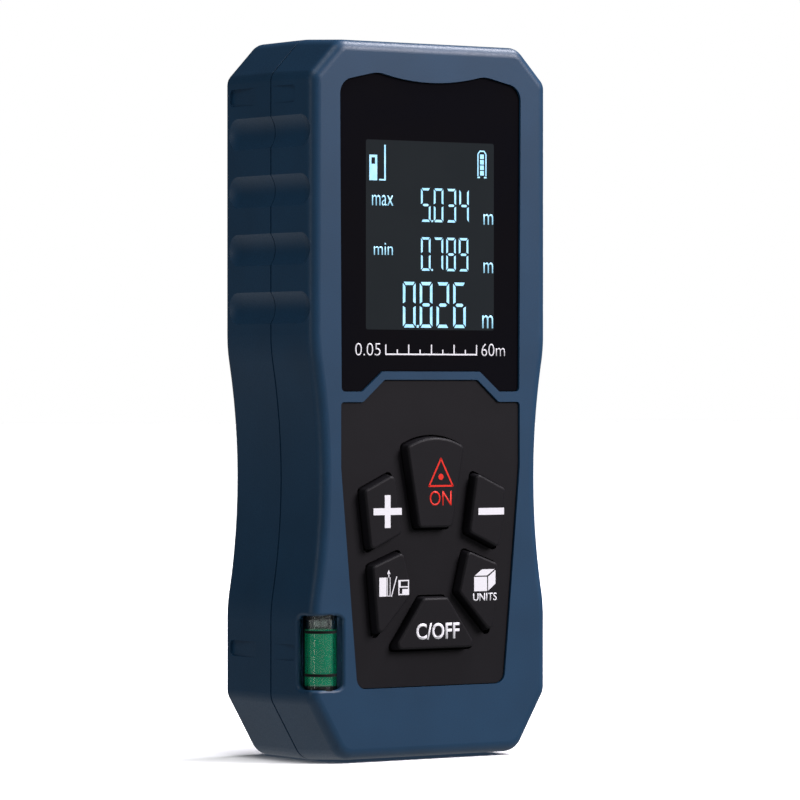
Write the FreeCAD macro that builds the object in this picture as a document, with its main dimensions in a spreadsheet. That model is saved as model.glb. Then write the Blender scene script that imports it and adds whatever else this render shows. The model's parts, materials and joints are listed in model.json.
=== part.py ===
import FreeCAD, Part
import math
import os
import re

import Sketcher
from FreeCAD import Placement, Rotation, Vector

# Hand-held laser distance meter.
# Frame: +Z up along the body, -Y is the side with the display and the keys, +X is to the
# right of a person looking at the display.  Y = 0 is the plane where the front and rear
# covers meet, and Z = 0 is the flat foot that the meter stands on.

SIZES = {
    # outer shell
    "shell_height": 115.0, "half_width": 23.5, "front_depth": 11.0, "rear_depth": 14.0,
    "front_draft": 0.65, "wall_side": 2.3, "wall_front": 2.8, "wall_rear": 2.5,
    "top_corner_x": 17.75, "top_corner_z": 109.0, "foot_corner_x": 17.6, "foot_corner_z": 10.0,
    "waist_low": 24.6, "waist_high": 65.5, "waist_depth": 1.95, "waist_blend": 25.0,
    "top_ridge_round": 3.0, "top_side_round": 2.2, "foot_ridge_round": 3.5,
    "foot_side_round": 3.0, "front_round": 1.8, "rear_round": 1.6, "seam_bevel": 0.18,
    # finger grooves and sunk flats on both sides
    "groove_axis_x": 26.5, "groove_radius": 3.92, "groove_top": 100.0, "groove_pitch": 9.3,
    "groove_front": 8.1, "groove_rear": 9.78, "groove_count": 4,
    "upper_dimple_low": 104.5, "upper_dimple_high": 107.3, "lower_dimple_low": 16.3,
    "lower_dimple_high": 18.85, "upper_dimple_front_start": 0.3, "lower_dimple_front_start": 0.9,
    "upper_dimple_rear_start": 4.4, "lower_dimple_rear_start": 4.4, "dimple_front_end": 6.45,
    "dimple_rear_end": 12.0, "dimple_slope": 3.0, "dimple_sweep": 1.0, "dimple_round": 0.7,
    # display window
    "window_top_x": 17.6, "window_low_x": 17.3, "window_shoulder_z": 107.9,
    "window_peak_x": 10.3, "window_peak_z": 109.5, "window_dip": 1.4, "window_low_z": 58.8,
    "window_notch_x": 13.3, "window_notch_top_x": 9.45, "window_notch_z": 62.0,
    "window_recess": 0.35, "window_thickness": 1.5, "tape_thickness": 0.2, "window_gap": 0.1,
    "shoulder_round": 2.6, "peak_round": 5.0, "window_corner_round": 0.7,
    "aperture_x": 14.2, "aperture_low": 66.9, "aperture_high": 100.5,
    # display module
    "glass_x": 15.2, "glass_low": 65.5, "glass_high": 102.0, "glass_front": 8.1,
    "glass_rear": 6.3, "backlight_low": 68.5, "backlight_rear": 4.7, "module_frame_x": 16.2,
    "module_frame_low": 64.5, "module_frame_high": 103.0, "module_gap": 0.05,
    "zebra_inset": 1.0, "zebra_gap": 0.3,
    # keypad
    "pad_top_x": 9.05, "pad_top_z": 60.7, "pad_shoulder_x": 13.2, "pad_side_x": 17.4,
    "pad_shoulder_z": 57.15, "pad_bend_z": 46.8, "pad_foot_x": 14.3, "pad_foot_z": 11.7,
    "pad_foot_round": 1.8, "pad_corner_round": 0.6, "pad_recess": 0.3, "pad_thickness": 1.2,
    "pad_gap": 0.12, "pad_ledge": 1.5,
    "key_face": 12.3, "key_root": 9.45, "key_flare": 0.3, "key_gap": 0.15,
    "key_flange": 0.85, "key_flange_rear": 8.75, "key_round": 0.8, "key_edge_round": 0.4,
    "key_hole_round": 0.8, "stem_radius": 1.5, "stem_tip": 5.75,
    "on_top_x": 5.5, "on_top_z": 49.85, "on_crown": 1.6, "on_foot_x": 3.2, "on_foot_z": 37.15,
    "step_outer_x": 13.7, "step_outer_z": 43.15, "step_inner_x": 8.0, "step_inner_z": 45.75,
    "step_tip_x": 6.6, "step_tip_z": 36.25, "step_heel_x": 12.5, "step_heel_z": 33.6,
    "mode_outer_x": 12.2, "mode_outer_z": 31.1, "mode_inner_x": 6.3, "mode_inner_z": 33.3,
    "mode_tip_x": 4.6, "mode_tip_z": 26.7, "mode_heel_x": 11.1, "mode_heel_z": 19.7,
    "clear_top_x": 2.35, "clear_top_z": 25.9, "clear_foot_x": 8.0, "clear_foot_z": 17.85,
    "mat_front": 5.4, "mat_x": 13.5, "mat_low": 15.5, "mat_high": 55.0, "mat_hole": 2.8,
    "dome_radius": 2.5, "dome_crown": 1.6, "dome_height": 0.3,
    # main board
    "board_front": 4.6, "board_rear": 3.0, "board_x": 18.2, "board_low": 10.8,
    "board_high": 103.0, "board_post": 1.65, "board_pilot": 0.8, "board_hole": 0.95,
    "board_post_upper_x": 16.0, "board_post_upper_z": 60.6, "board_post_lower_x": 8.0,
    "board_post_lower_z": 12.3, "board_screw_tip": 7.6, "board_screw_head": 1.5,
    "board_screw_head_high": 1.0,
    # parts on the main board
    "chip_x": 5.0, "chip_z": 48.0, "chip_size": 9.0, "chip_thick": 1.4, "leg_pitch": 1.2,
    "leg_reach": 1.0, "leg_wide": 0.5, "leg_thick": 0.3, "crystal_x": 5.0, "crystal_z": 37.0,
    "crystal_wide": 5.0, "crystal_high": 2.4, "crystal_thick": 1.2, "buzzer_x": -9.0,
    "buzzer_z": 74.0, "buzzer_radius": 4.6, "buzzer_rear": 1.0, "buzzer_port": 0.9,
    "buzzer_port_deep": 0.8,
    "passive_x": -14.0, "passive_z": 19.0, "passive_step_x": 4.6, "passive_step_z": 7.2,
    "passive_wide": 2.2, "passive_high": 1.4, "passive_thick": 0.6,
    # screws that hold the covers together
    "boss_x": 15.5, "boss_top_z": 106.5, "boss_low_z": 7.5, "boss_front_radius": 2.8,
    "boss_rear_radius": 3.1, "screw_pilot": 1.1, "screw_hole": 1.3, "screw_bore_depth": 6.5,
    "screw_tip": 6.0, "screw_seat": 9.0, "screw_head": 2.2, "screw_head_high": 1.6,
    "screw_well": 2.6, "cross_long": 0.62, "cross_wide": 0.14, "pilot_spare": 0.3,
    # overlap of joined solids, and how far a cut runs past a face
    "joint_overlap": 0.2, "past": 0.01,
    # battery bay
    "bay_x": 11.2, "bay_low": 15.5, "bay_high": 65.0, "bay_floor": 2.0, "bay_under": 0.8,
    "block_x": 14.9, "block_low": 11.3, "block_high": 68.6,
    "cell_radius": 5.25, "cell_x": 5.6, "cell_y": 7.3, "cell_length": 44.5, "nub_radius": 2.7,
    "nub_high": 1.0, "cell_round": 0.4, "plate_thick": 0.3, "plate_y_low": 2.6,
    "plate_y_high": 11.6, "plate_x": 10.4, "plate_split": 0.9, "tab_x_low": 4.6,
    "tab_x_high": 6.6, "spring_wire": 0.25, "spring_base": 3.3, "spring_step": 0.35,
    "spring_link": 0.15, "contact_gap": 0.05, "tab_overlap": 0.1,
    # battery door
    "door_x": 14.0, "door_gap": 0.15, "door_high": 66.9, "door_inner": 12.7,
    "door_outer": 13.9, "door_seat": 12.65, "hinge_y": 12.9, "hinge_z": 13.6,
    "bead_radius": 1.0, "bead_room": 1.25, "seat_low": 12.3, "hinge_pin": 0.6,
    "hinge_hole": 0.65, "pin_end": 15.1, "hole_end": 15.3, "latch_x": 3.0,
    "latch_low": 65.5, "latch_high": 66.4, "latch_tip": 9.6, "latch_room": 0.3,
    "grip_x": 5.0, "grip_low": 60.5, "grip_pitch": 1.3, "grip_high": 0.6, "grip_deep": 0.35,
    "grip_count": 4, "notch_radius": 5.5, "notch_deep": 1.0,
    "foam_x": 1.6, "foam_front": 11.2, "foam_low": 28.0, "foam_high": 52.0,
    # rear label
    "label_x": 15.0, "label_low": 74.0, "label_high": 99.0, "label_deep": 0.2,
    "label_gap": 0.1, "label_round": 1.2, "label_sunk": 0.02,
    # spirit level in the lower left corner of the front
    "vial_x": 19.5, "vial_y": 8.3, "vial_radius": 2.5, "vial_bore": 2.0, "vial_low": 11.2,
    "vial_high": 24.0, "vial_room": 0.1, "vial_plug": 1.2, "liquid_level": 21.3,
    "port_left": 3.05, "port_right": 3.2, "port_depth": 0.5, "port_reach": 6.0,
    "port_turn": 45.0, "port_rim": 0.5, "port_low": 11.8, "port_high": 23.5,
    "port_round": 0.9, "ring_upper": 20.9, "ring_lower": 14.1, "ring_high": 0.45,
    "ring_proud": 0.04, "cradle_low": 10.9, "cradle_high": 24.4, "cradle_out": 21.15,
    "cradle_in": 15.6, "cradle_front": 8.15, "cradle_rear": 5.2, "cradle_room": 0.08,
    # optics behind the top face
    "optic_y": 4.2, "receiver_x": 4.8, "laser_x": 7.6, "optic_frame_x": 12.2,
    "optic_front": 2.6, "optic_rear": 11.0, "optic_low": 82.0, "optic_high": 111.0,
    "receiver_radius": 6.0, "receiver_bore": 5.0, "lens_seat": 108.0, "lens_edge": 1.6,
    "lens_crown": 1.0, "retainer_high": 0.7, "retainer_bore": 5.3, "laser_tube_radius": 3.2,
    "laser_tube_bore": 2.4, "laser_tube_low": 92.0, "laser_tube_high": 110.4,
    "collimator_low": 107.6, "collimator_high": 109.2, "diode_radius": 2.3,
    "diode_low": 92.6, "diode_high": 95.6, "running_gap": 0.05,
    "laser_wire_radius": 1.8, "pin_radius": 0.22, "pin_long": 4.0, "pin_step": 1.0,
    "pin_root": 0.2, "collimator_curve": 6.0, "retainer_rest": 0.3,
    "detector_half_wide": 7.0, "detector_front": 5.5, "detector_rear": 6.0,
    "detector_thick": 1.6, "can_radius": 2.3, "can_high": 2.4,
    "ear_x": 16.6, "ear_low": 84.0, "ear_high": 90.0, "ear_front": 0.6, "ear_rear": 1.4,
    "ear_screw_x": 14.5, "ear_screw_z": 87.0, "ear_screw": 0.9, "ear_screw_hole": 1.05,
    "ear_screw_head": 1.7, "ear_screw_head_high": 1.1, "ear_screw_tip": 8.0,
    "ear_post": 1.9,
    "bezel_x": 13.2, "bezel_half_y": 6.5, "bezel_gap": 0.2, "bezel_top": 114.5,
    "bezel_low": 111.9, "bezel_lip_high": 0.75, "bezel_lip": 0.65,
    "receiver_port": 5.6, "laser_port": 2.2, "laser_pane": 2.8, "laser_pane_high": 0.8,
    # gasket between the covers
    "gasket_outer": 1.15, "gasket_inner": 1.85, "gasket_deep": 0.7, "parting_gap": 0.16,
}

SPRING_TURNS = 5
TOUCH = 0.01
CHIP_LEGS = 6
PASSIVE_ROWS = 5
PASSIVE_COLUMNS = 3

ALIAS = re.compile("[a-z_]+")

doc = FreeCAD.newDocument("laser_distance_meter")
sheet = doc.addObject("Spreadsheet::Sheet", "Sizes")
for row, (alias, size) in enumerate(SIZES.items(), start=1):
    sheet.set(f"A{row}", alias)
    sheet.set(f"B{row}", str(size))
    sheet.setAlias(f"B{row}", alias)
doc.recompute()

nodes = {}


# ---------------------------------------------------------------- expressions

def bound(text):
    """Return the expression with each size written as a cell of the sheet."""
    return ALIAS.sub(lambda word: "Sizes." + word[0] if word[0] in SIZES else word[0], text)


def value(text):
    """Return the present value of an expression."""
    return float(sheet.evalExpression(bound(text)))


def bind(thing, prop, text):
    thing.setExpression(prop, bound(text))


def minus(text):
    return f"-({text})"


def middle(texts):
    return "(" + " + ".join(f"({text})" for text in texts) + f") / {len(texts)}"


# ---------------------------------------------------------------- outlines

def both_sides(right):
    """Close a right-hand half outline, listed upwards, with its mirror image."""
    left = [(minus(x), z) for x, z in reversed(right)]
    return right + left


def rectangle(x_low, x_high, z_low, z_high):
    return [(x_low, z_low), (x_high, z_low), (x_high, z_high), (x_low, z_high)]


def grown(points, distance):
    """Move each side of a counter-clockwise outline outwards by a distance."""
    corners = [(value(x), value(z)) for x, z in points]
    count = len(corners)
    moved = []
    for index, (x, z) in enumerate(points):
        before = side_direction(corners[index - 1], corners[index])
        after = side_direction(corners[index], corners[(index + 1) % count])
        scale = 1.0 + before[0] * after[0] + before[1] * after[1]
        shift_x = (before[1] + after[1]) / scale
        shift_z = -(before[0] + after[0]) / scale
        moved.append((f"{x} + ({distance}) * ({shift_x:.6f})", f"{z} + ({distance}) * ({shift_z:.6f})"))
    return moved


def side_direction(start, end):
    length = math.dist(start, end)
    return (end[0] - start[0]) / length, (end[1] - start[1]) / length


# ---------------------------------------------------------------- bodies and features

def new_body(name):
    body = doc.addObject("PartDesign::Body", name)
    body.Label = name
    return body


def origin_feature(body, role):
    return next(item for item in body.Origin.OriginFeatures if item.Role == role)


def new_sketch(body, name, role, level):
    """Add a sketch on an origin plane, moved to a level along X, Y or Z."""
    sketch = body.newObject("Sketcher::SketchObject", name)
    sketch.AttachmentSupport = [(origin_feature(body, role), "")]
    sketch.MapMode = "FlatFace"
    offset = minus(level) if role == "XZ_Plane" else level
    bind(sketch, "AttachmentOffset.Base.z", offset)
    return sketch


def fix_point(sketch, geometry, end, texts):
    """Hold one point of a sketch at two bound coordinates."""
    for kind, axis, text in zip(("DistanceX", "DistanceY"), (-2, -1), texts):
        size = value(text)
        if abs(size) < 1e-9:
            sketch.addConstraint(Sketcher.Constraint("PointOnObject", geometry, end, axis))
            continue
        index = sketch.addConstraint(Sketcher.Constraint(kind, -1, 1, geometry, end, size))
        bind(sketch, f"Constraints[{index}]", text)


def outline_sketch(body, name, role, level, points, arcs=None):
    """Draw a closed outline; arcs gives the rise of each side that is an arc."""
    sketch = new_sketch(body, name, role, level)
    add_outline(sketch, points, arcs or {})
    return sketch


def add_outline(sketch, points, arcs):
    """Add one closed outline to a sketch, with every corner and radius bound."""
    corners = [Vector(value(x), value(z), 0) for x, z in points]
    ends = []
    for index, start in enumerate(corners):
        finish = corners[(index + 1) % len(corners)]
        if index not in arcs:
            geometry = sketch.addGeometry(Part.LineSegment(start, finish), False)
            ends.append((geometry, 1, 2))
            continue
        rise = value(arcs[index])
        radius_text = arc_radius(points, index, arcs[index])
        geometry = sketch.addGeometry(circle_arc(start, finish, rise, value(radius_text)), False)
        ends.append((geometry, 1, 2) if rise > 0 else (geometry, 2, 1))
        constraint = sketch.addConstraint(Sketcher.Constraint("Radius", geometry, value(radius_text)))
        bind(sketch, f"Constraints[{constraint}]", radius_text)
    for index, (geometry, first, _last) in enumerate(ends):
        before, _first, last = ends[index - 1]
        sketch.addConstraint(Sketcher.Constraint("Coincident", before, last, geometry, first))
        fix_point(sketch, geometry, first, points[index])


def circle_arc(start, finish, rise, radius):
    """Return the arc over a chord that bulges to the right of it by the rise."""
    along = (finish - start).normalize()
    outward = Vector(along.y, -along.x, 0)
    centre = (start + finish) * 0.5 + outward * (rise - math.copysign(radius, rise))
    if rise < 0:
        start, finish = finish, start
    low = math.atan2(start.y - centre.y, start.x - centre.x)
    high = math.atan2(finish.y - centre.y, finish.x - centre.x)
    if high < low:
        high += 2 * math.pi
    return Part.ArcOfCircle(Part.Circle(centre, Vector(0, 0, 1), radius), low, high)


def arc_radius(points, index, rise):
    """Return the expression of an arc's radius from its chord and its rise."""
    (x_start, z_start), (x_end, z_end) = points[index], points[(index + 1) % len(points)]
    chord = f"(({x_end} - ({x_start}))^2 + ({z_end} - ({z_start}))^2)"
    return f"({chord} / 4 + ({rise})^2) / (2 * abs({rise}))"


def circle_sketch(body, name, role, level, centres, radius):
    """Draw a circle of one radius at each centre."""
    sketch = new_sketch(body, name, role, level)
    for centre in centres:
        spot = Vector(value(centre[0]), value(centre[1]), 0)
        circle = Part.Circle(spot, Vector(0, 0, 1), value(radius))
        geometry = sketch.addGeometry(circle, False)
        index = sketch.addConstraint(Sketcher.Constraint("Radius", geometry, value(radius)))
        bind(sketch, f"Constraints[{index}]", radius)
        fix_point(sketch, geometry, 3, centre)
    return sketch


def add_feature(body, kind, name, sketch, length, taper=None, reverse=False):
    """Pad or pocket a sketch, and check that the volume changes the right way."""
    doc.recompute()
    before = body.Shape.Volume if body.Tip else 0.0
    feature = body.newObject(f"PartDesign::{kind}", name)
    feature.Profile = sketch
    feature.Refine = False
    bind(feature, "Length", length)
    feature.Reversed = reverse
    if taper:
        bind(feature, "TaperAngle", taper)
    doc.recompute()
    gained = body.Shape.Volume - before
    if (kind == "Pad") != (gained > 1e-6):
        raise ValueError(f"{body.Label}.{name} changes the volume by {gained:.4f}")
    return feature


def slab(body, name, points, front, rear, arcs=None, taper=None):
    """Add material between two depths; a taper narrows it towards the front."""
    sketch = outline_sketch(body, name + "_outline", "XZ_Plane", rear, points, arcs)
    return add_feature(body, "Pad", name, sketch, f"{rear} - ({front})", taper)


def opening(body, name, points, front, rear, arcs=None, taper=None):
    """Cut an outline between two depths; a taper narrows it towards the rear."""
    sketch = outline_sketch(body, name + "_outline", "XZ_Plane", front, points, arcs)
    return add_feature(body, "Pocket", name, sketch, f"{rear} - ({front})", taper)


def posts(body, name, centres, radius, front, rear):
    sketch = circle_sketch(body, name + "_circles", "XZ_Plane", rear, centres, radius)
    return add_feature(body, "Pad", name, sketch, f"{rear} - ({front})")


def drill(body, name, centres, radius, front, rear):
    sketch = circle_sketch(body, name + "_circles", "XZ_Plane", front, centres, radius)
    return add_feature(body, "Pocket", name, sketch, f"{rear} - ({front})")


def round_edges(body, name, radius, choose, kind="Fillet"):
    """Fillet or chamfer the edges of the body that a test picks."""
    doc.recompute()
    base = body.Tip
    names = [f"Edge{index}" for index, edge in enumerate(base.Shape.Edges, start=1) if choose(edge)]
    if not names:
        raise ValueError(f"{body.Label}.{name} finds no edge")
    feature = body.newObject(f"PartDesign::{kind}", name)
    feature.Base = (base, names)
    bind(feature, "Radius" if kind == "Fillet" else "Size", radius)
    doc.recompute()
    if "Invalid" in feature.State:
        raise ValueError(f"{body.Label}.{name} fails on {len(names)} edges")
    return feature


def corner_edges(points, level):
    """Pick the edges that leave the corners of an outline at one depth."""
    depth = value(level)
    spots = [Vector(value(x), depth, value(z)) for x, z in points]

    def choose(edge):
        if len(edge.Vertexes) != 2:
            return False
        first, second = (vertex.Point for vertex in edge.Vertexes)
        if abs(first.y - second.y) < 0.05:
            return False
        return any(min(first.distanceToPoint(spot), second.distanceToPoint(spot)) < 0.01 for spot in spots)

    return choose


def level_edges(level, test=None):
    """Pick the edges that lie at one depth, and pass a test on their middle."""
    depth = value(level)

    def choose(edge):
        box = edge.BoundBox
        if abs(box.YMin - depth) > 0.01 or abs(box.YMax - depth) > 0.01:
            return False
        return test is None or test(box.Center)

    return choose


# ---------------------------------------------------------------- simple solids

AXIS_TURN = {
    "x": Rotation(Vector(0, 1, 0), 90),
    "y": Rotation(Vector(1, 0, 0), -90),
    "z": Rotation(),
}


def place(solid, x, y, z):
    for axis, text in zip("xyz", (x, y, z)):
        bind(solid, f"Placement.Base.{axis}", text)


def block(name, x_span, y_span, z_span):
    box = doc.addObject("Part::Box", name)
    for prop, span in zip(("Length", "Width", "Height"), (x_span, y_span, z_span)):
        bind(box, prop, f"{span[1]} - ({span[0]})")
    place(box, x_span[0], y_span[0], z_span[0])
    return box


def rod(name, axis, centre, span, radius, end_radius=None):
    """Make a cylinder, or a cone, along an axis; centre holds the two other coordinates."""
    solid = doc.addObject("Part::Cone" if end_radius else "Part::Cylinder", name)
    solid.Placement = Placement(Vector(), AXIS_TURN[axis])
    spot = list(centre)
    spot.insert("xyz".index(axis), span[0])
    place(solid, *spot)
    bind(solid, "Height", f"{span[1]} - ({span[0]})")
    if end_radius:
        bind(solid, "Radius1", radius)
        bind(solid, "Radius2", end_radius)
    else:
        bind(solid, "Radius", radius)
    return solid


def ball(name, centre, radius):
    solid = doc.addObject("Part::Sphere", name)
    bind(solid, "Radius", radius)
    place(solid, *centre)
    return solid


def cut(name, base, *tools):
    result = doc.addObject("Part::Cut", name)
    result.Base = base
    result.Tool = tools[0] if len(tools) == 1 else join(name + "_tools", *tools)
    return result


def join(name, *solids):
    result = doc.addObject("Part::MultiFuse", name)
    result.Shapes = list(solids)
    return result


def common(name, *solids):
    result = doc.addObject("Part::MultiCommon", name)
    result.Shapes = list(solids)
    return result


def group(name, *solids):
    result = doc.addObject("Part::Compound", name)
    result.Links = list(solids)
    return result


def keep(name, thing):
    """Record an object as the sub-part of that name."""
    thing.Label = name
    nodes[name] = thing
    return thing


# ---------------------------------------------------------------- housing

FRONT = "-front_depth"
SHELL = both_sides([
    ("foot_corner_x", "0"),
    ("half_width", "foot_corner_z"),
    ("half_width", "waist_low"),
    ("half_width", "waist_high"),
    ("half_width", "top_corner_z"),
    ("top_corner_x", "shell_height"),
])
WAIST = {2: "-waist_depth", 8: "-waist_depth"}
WALL_DRAFT = "atan(front_draft / front_depth)"
LEAST_GROOVE_VOLUME = 60
SCREW_SPOTS = [
    (side + "boss_x", height)
    for side in ("", "-")
    for height in ("boss_low_z", "boss_top_z")
]
BOARD_SPOTS = [
    (side + "board_post_" + name + "_x", "board_post_" + name + "_z")
    for side in ("", "-")
    for name in ("upper", "lower")
]
EAR_SPOTS = [(side + "ear_screw_x", "ear_screw_z") for side in ("", "-")]
TAB_SLOT = ("tab_x_low - latch_room / 2", "tab_x_high + latch_room / 2")
BEZEL_SLOT = rectangle("-bezel_x - bezel_gap", "bezel_x + bezel_gap", "bezel_low", "shell_height + 1")
WINDOW = both_sides([
    ("window_notch_top_x", "window_notch_z"),
    ("window_notch_x", "window_low_z"),
    ("window_low_x", "window_low_z"),
    ("window_top_x", "window_shoulder_z"),
    ("window_peak_x", "window_peak_z"),
])
WINDOW_DIP = {4: "-window_dip"}
APERTURE = rectangle("-aperture_x", "aperture_x", "aperture_low", "aperture_high")
PANEL = both_sides([
    ("pad_foot_x", "pad_foot_z"),
    ("pad_side_x", "pad_bend_z"),
    ("pad_side_x", "pad_shoulder_z"),
    ("pad_shoulder_x", "pad_shoulder_z"),
    ("pad_top_x", "pad_top_z"),
])


def shape_shell(body, front, rear, taper=None):
    """Pad the shell outline and round its upright corners."""
    slab(body, "shell", SHELL, front, rear, WAIST, taper)
    corners = {
        "foot_ridge_round": (0, 11),
        "foot_side_round": (1, 10),
        "waist_blend": (2, 3, 8, 9),
        "top_side_round": (4, 7),
        "top_ridge_round": (5, 6),
    }
    for radius, indexes in corners.items():
        chosen = [SHELL[index] for index in indexes]
        round_edges(body, radius, radius, corner_edges(chosen, rear))


def beside_foot(centre):
    return abs(centre.x) > SIZES["top_corner_x"]


def turn_sketch(sketch, angle, axis=Vector(0, 1, 0)):
    """Turn a sketch about one of its own axes by a bound angle."""
    sketch.AttachmentOffset = Placement(Vector(), Rotation(axis, value(angle)))
    bind(sketch, "AttachmentOffset.Rotation.Angle", angle)


def cut_grooves(body, drafted):
    """Cut the rows of finger grooves: each is a round-ended scoop along the wall."""
    profile = [
        ("0", "-groove_front - groove_radius"),
        ("groove_radius", "-groove_front"),
        ("groove_radius", "groove_rear"),
        ("0", "groove_rear + groove_radius"),
    ]
    rise = "groove_radius * (1 - sqrt(0.5))"
    for side, sign, turn in (("right", "", "-"), ("left", "-", "")):
        arcs = {0: rise, 2: rise}
        sketch = outline_sketch(body, side + "_scoop", "XY_Plane", "groove_top", profile, arcs)
        if drafted:
            turn_sketch(sketch, f"{turn}{WALL_DRAFT}", Vector(0, 0, 1))
        bind(sketch, "AttachmentOffset.Base.x", sign + "groove_axis_x")
        doc.recompute()
        before = body.Shape.Volume
        groove = body.newObject("PartDesign::Groove", side + "_groove")
        groove.Profile = sketch
        groove.ReferenceAxis = (sketch, ["V_Axis"])
        groove.Angle = 360
        doc.recompute()
        pattern = body.newObject("PartDesign::LinearPattern", side + "_grooves")
        pattern.Originals = [groove]
        pattern.Direction = (origin_feature(body, "Z_Axis"), [""])
        pattern.Reversed = True
        bind(pattern, "Length", "groove_pitch * (groove_count - 1)")
        bind(pattern, "Occurrences", "groove_count")
        body.Tip = pattern
        doc.recompute()
        if before - body.Shape.Volume < LEAST_GROOVE_VOLUME:
            raise ValueError(f"{body.Label} has lost too little to its grooves")


def cut_dimples(body, half):
    """Sink the short flats on both sides of one cover; each deepens away from the seam."""
    for row in ("upper", "lower"):
        start, end = f"{row}_dimple_{half}_start", f"dimple_{half}_end"
        levels = (f"{row}_dimple_low", f"{row}_dimple_high")
        along = (minus(end), minus(start)) if half == "front" else (start, end)
        for side, sign in (("right", ""), ("left", "-")):
            level = f"{sign}(half_width + {start} * tan(dimple_slope * 1 deg))"
            outline = rectangle(*along, *levels)
            sketch = outline_sketch(body, f"{row}_{side}_dimple_outline", "YZ_Plane", level, outline)
            slope = f"({WALL_DRAFT} + dimple_slope * 1 deg)" if half == "front" else "dimple_slope * 1 deg"
            clockwise = (half == "front") == (side == "right")
            turn_sketch(sketch, f"{'-' if clockwise else ''}{slope}")
            name = f"{row}_{side}_dimple"
            add_feature(body, "Pocket", name, sketch, "dimple_sweep", reverse=side == "right")
        outer_end = along[0] if half == "front" else along[1]
        round_edges(body, f"{row}_dimple_ends", "dimple_round", dimple_corners(outer_end, levels))


def dimple_corners(end, levels):
    """Pick the short edges at the outer corners of the flats of one row."""
    depth = value(end)
    heights = [value(level) for level in levels]

    def choose(edge):
        points = [vertex.Point for vertex in edge.Vertexes]
        if len(points) != 2 or abs(points[0].x - points[1].x) < 0.02:
            return False
        return all(
            abs(point.y - depth) < 0.15 and min(abs(point.z - height) for height in heights) < 0.02
            for point in points
        )

    return choose


def front_cover():
    body = new_body("front_cover")
    shape_shell(body, FRONT, "0", "-" + WALL_DRAFT)
    round_edges(body, "front_round", "front_round", level_edges(FRONT))
    round_edges(body, "seam_bevel", "seam_bevel", level_edges("0", beside_foot), "Chamfer")
    cut_dimples(body, "front")
    cut_grooves(body, drafted=True)
    inner = grown(SHELL, "-wall_side")
    opening(body, "cavity", inner, "-front_depth + wall_front", "past", WAIST)
    inside = "-front_depth + wall_front"
    posts(body, "bosses", SCREW_SPOTS, "boss_front_radius", inside + " - joint_overlap", "0")
    drill(body, "pilots", SCREW_SPOTS, "screw_pilot", "-screw_bore_depth", "past")
    window_floor = "-front_depth + window_recess + window_thickness + tape_thickness"
    opening(body, "window_pocket", WINDOW, "-front_depth - 1", window_floor, WINDOW_DIP)
    round_window_corners(body, WINDOW, window_floor)
    opening(body, "display_aperture", APERTURE, "-front_depth", "-front_depth + wall_front + past")
    panel_floor = "-front_depth + pad_recess + pad_thickness"
    opening(body, "keypad_pocket", PANEL, "-front_depth - 1", panel_floor)
    round_panel_corners(body, PANEL, panel_floor)
    inner_panel = grown(PANEL, "-pad_ledge")
    opening(body, "keypad_aperture", inner_panel, panel_floor, "-front_depth + wall_front + past")
    posts(body, "board_posts", BOARD_SPOTS, "board_post", inside + " - joint_overlap", "-board_front")
    pilot_end = "-board_screw_tip - pilot_spare"
    drill(body, "board_pilots", BOARD_SPOTS, "board_pilot", pilot_end, "-board_front + past")
    opening(body, "bezel_slot", BEZEL_SLOT, "optic_y - bezel_half_y - bezel_gap", "past")
    cut_level_port(body)
    keep("front_cover", body)


def round_window_corners(body, points, rear):
    groups = {
        "shoulder_round": (3, 6),
        "peak_round": (4, 5),
        "window_corner_round": (0, 1, 2, 7, 8, 9),
    }
    for radius, indexes in groups.items():
        chosen = [points[index] for index in indexes]
        round_edges(body, f"{radius}_of_window", radius, corner_edges(chosen, rear))


def round_panel_corners(body, points, rear):
    groups = {
        "pad_foot_round": (0, 9),
        "pad_corner_round": (2, 3, 4, 5, 6, 7),
    }
    for radius, indexes in groups.items():
        chosen = [points[index] for index in indexes]
        round_edges(body, f"{radius}_of_panel", radius, corner_edges(chosen, rear))


def cut_level_port(body):
    """Open the lower left corner to the spirit level, square to the corner's diagonal."""
    port = rectangle("-port_left", "port_right", "port_low", "port_high")
    sketch = outline_sketch(body, "level_port_outline", "XZ_Plane", "-vial_y - port_reach", port)
    turn_sketch(sketch, "-port_turn")
    bind(sketch, "AttachmentOffset.Base.x", "-vial_x - port_reach")
    add_feature(body, "Pocket", "level_port", sketch, "port_reach / cos(port_turn) + port_depth")
    round_edges(body, "port_corners", "port_round", port_edges(corners=True))
    round_edges(body, "port_rim", "port_rim", port_edges(corners=False))
    centre = [("-vial_x", "-vial_y")]
    bore = circle_sketch(
        body, "vial_bore_circle", "XY_Plane", "vial_high + vial_room", centre, "vial_radius + vial_room"
    )
    add_feature(body, "Pocket", "vial_bore", bore, "vial_high - vial_low + 2 * vial_room")


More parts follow.
